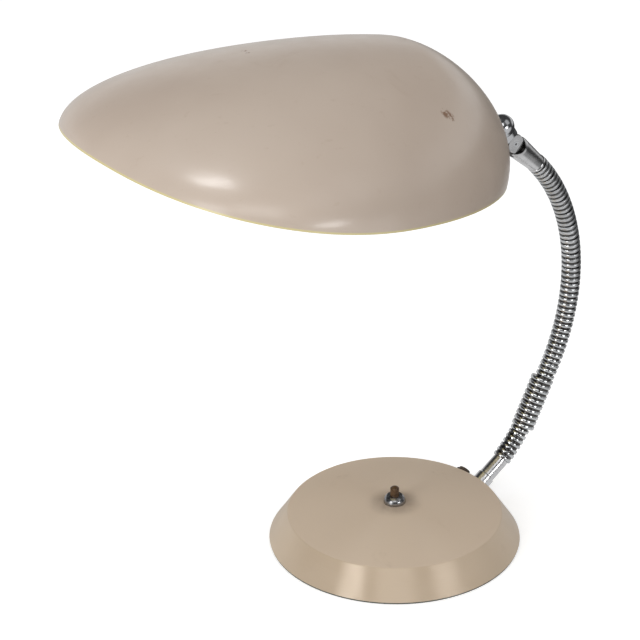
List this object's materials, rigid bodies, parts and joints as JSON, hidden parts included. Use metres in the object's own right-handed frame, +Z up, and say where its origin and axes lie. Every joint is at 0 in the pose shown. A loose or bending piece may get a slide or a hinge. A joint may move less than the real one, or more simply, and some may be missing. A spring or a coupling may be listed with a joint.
{
  "type": "desk lamp",
  "caption": "Desk lamp: a wide hood-shaped shade on a tilting knuckle, held by a ribbed flexible neck on a weighted round base with a push switch.",
  "frame": {"origin": "centre of the base's underside, on the surface the lamp stands on", "axes": "+Z up; the neck leaves the base at +X and the shade's nose points to -X; Y is across the lamp"},
  "size_m": [0.3725, 0.243, 0.3631],
  "materials": {
    "felt": "matt felt",
    "plate": "zinc-plated",
    "screws": "zinc-plated",
    "weight": "raw casting",
    "base_enamel": "satin beige enamel",
    "switch_chrome": "polished",
    "black_plastic": "matt",
    "brass": "plain",
    "button_plastic": "glossy brown",
    "black_rubber": "matt",
    "worn_chrome": "worn",
    "zinc_steel": "zinc-plated",
    "chrome": "polished",
    "shade_enamel": "satin taupe enamel, cream inside",
    "holder_plastic": "matt",
    "porcelain": "glazed",
    "bulb_metal": "plain",
    "bulb_glass": "opal"
  },
  "bodies": {
    "base": {"base_felt": "felt", "base_plate": "plate", "base_screws": "screws", "base_weight": "weight", "base_cover": "base_enamel", "switch_body": "black_plastic", "switch_terminals": "brass", "switch_bushing": "switch_chrome", "switch_ring": "switch_chrome", "cord_gland": "black_rubber", "neck_nipple": "zinc_steel", "neck_nut": "zinc_steel", "lower_ferrule": "worn_chrome", "neck_link_01": "chrome"},
    "button": {"switch_button": "button_plastic"},
    "link_02": {"neck_link_02": "chrome"},
    "core": {"neck_core": "chrome", "neck_sleeve": "chrome"},
    "link_03": {"neck_link_03": "chrome"},
    "link_04": {"neck_link_04": "chrome"},
    "link_05": {"neck_link_05": "chrome"},
    "link_06": {"neck_link_06": "chrome"},
    "link_07": {"neck_link_07": "chrome"},
    "link_08": {"neck_link_08": "chrome"},
    "link_09": {"neck_link_09": "chrome"},
    "link_10": {"neck_link_10": "chrome"},
    "link_11": {"neck_link_11": "chrome"},
    "link_12": {"neck_link_12": "chrome"},
    "link_13": {"neck_link_13": "chrome"},
    "link_14": {"neck_link_14": "chrome"},
    "link_15": {"neck_link_15": "chrome"},
    "link_16": {"neck_link_16": "chrome"},
    "upper": {"neck_link_17": "chrome", "upper_ferrule": "worn_chrome", "knuckle_pin": "chrome"},
    "shade": {"knuckle_head": "chrome", "shade_washer": "chrome", "shade": "shade_enamel", "shade_inner_washer": "zinc_steel", "shade_nut": "zinc_steel", "shade_elbow": "zinc_steel", "holder_cap": "holder_plastic", "holder_skirt": "holder_plastic", "holder_insert": "porcelain", "holder_shell": "brass", "bulb_cap": "bulb_metal", "bulb_glass": "bulb_glass"}
  },
  "joints": [
    {"name": "neck_bend_1", "type": "hinge", "parent": "base", "child": "link_02", "pos_m": [0.10248, 0, 0.03443], "axis": [0, 1, 0], "range_deg": [-1.25, 3]},
    {"name": "neck_sway_1", "type": "hinge", "parent": "link_02", "child": "core", "pos_m": [0.10993, 0, 0.04318], "axis": [-0.8101, 0, 0.5863], "range_deg": [-5, 5]},
    {"name": "neck_bend_2", "type": "hinge", "parent": "core", "child": "link_03", "pos_m": [0.13387, 0, 0.08241], "axis": [0, 1, 0], "range_deg": [-2.5, 6]},
    {"name": "neck_sway_2", "type": "hinge", "parent": "link_03", "child": "link_04", "pos_m": [0.13913, 0, 0.09263], "axis": [-0.9059, 0, 0.4235], "range_deg": [-5, 5]},
    {"name": "neck_bend_3", "type": "hinge", "parent": "link_04", "child": "link_05", "pos_m": [0.1436, 0, 0.10321], "axis": [0, 1, 0], "range_deg": [-2.5, 6]},
    {"name": "neck_sway_3", "type": "hinge", "parent": "link_05", "child": "link_06", "pos_m": [0.14725, 0, 0.11411], "axis": [-0.9598, 0, 0.2808], "range_deg": [-5, 5]},
    {"name": "neck_bend_4", "type": "hinge", "parent": "link_06", "child": "link_07", "pos_m": [0.15005, 0, 0.12525], "axis": [0, 1, 0], "range_deg": [-2.5, 6]},
    {"name": "neck_sway_4", "type": "hinge", "parent": "link_07", "child": "link_08", "pos_m": [0.15195, 0, 0.13658], "axis": [-0.9921, 0, 0.1256], "range_deg": [-5, 5]},
    {"name": "neck_bend_5", "type": "hinge", "parent": "link_08", "child": "link_09", "pos_m": [0.15293, 0, 0.14803], "axis": [0, 1, 0], "range_deg": [-2.5, 6]},
    {"name": "neck_sway_5", "type": "hinge", "parent": "link_09", "child": "link_10", "pos_m": [0.15296, 0, 0.15952], "axis": [-0.9992, 0, -0.0388], "range_deg": [-5, 5]},
    {"name": "neck_bend_6", "type": "hinge", "parent": "link_10", "child": "link_11", "pos_m": [0.15204, 0, 0.17097], "axis": [0, 1, 0], "range_deg": [-2.5, 6]},
    {"name": "neck_sway_6", "type": "hinge", "parent": "link_11", "child": "link_12", "pos_m": [0.15014, 0, 0.18231], "axis": [-0.9781, 0, -0.2081], "range_deg": [-5, 5]},
    {"name": "neck_bend_7", "type": "hinge", "parent": "link_12", "child": "link_13", "pos_m": [0.14726, 0, 0.19343], "axis": [0, 1, 0], "range_deg": [-2.5, 6]},
    {"name": "neck_sway_7", "type": "hinge", "parent": "link_13", "child": "link_14", "pos_m": [0.14341, 0, 0.20426], "axis": [-0.9262, 0, -0.377], "range_deg": [-5, 5]},
    {"name": "neck_bend_8", "type": "hinge", "parent": "link_14", "child": "link_15", "pos_m": [0.1386, 0, 0.21469], "axis": [0, 1, 0], "range_deg": [-2.5, 6]},
    {"name": "neck_sway_8", "type": "hinge", "parent": "link_15", "child": "link_16", "pos_m": [0.13287, 0, 0.22465], "axis": [-0.8422, 0, -0.5392], "range_deg": [-5, 5]},
    {"name": "neck_bend_9", "type": "hinge", "parent": "link_16", "child": "upper", "pos_m": [0.12623, 0, 0.23403], "axis": [0, 1, 0], "range_deg": [-2.5, 6]},
    {"name": "shade_tilt", "type": "hinge", "parent": "upper", "child": "shade", "pos_m": [0.09496, 0, 0.26475], "axis": [0, 1, 0], "range_deg": [-30, 45]},
    {"name": "switch_press", "type": "slide", "parent": "base", "child": "button", "axis": [0, 0, 1], "range_m": [-0.0025, 0], "stiffness_N_per_m": 800, "springref_m": 0.001}
  ]
}
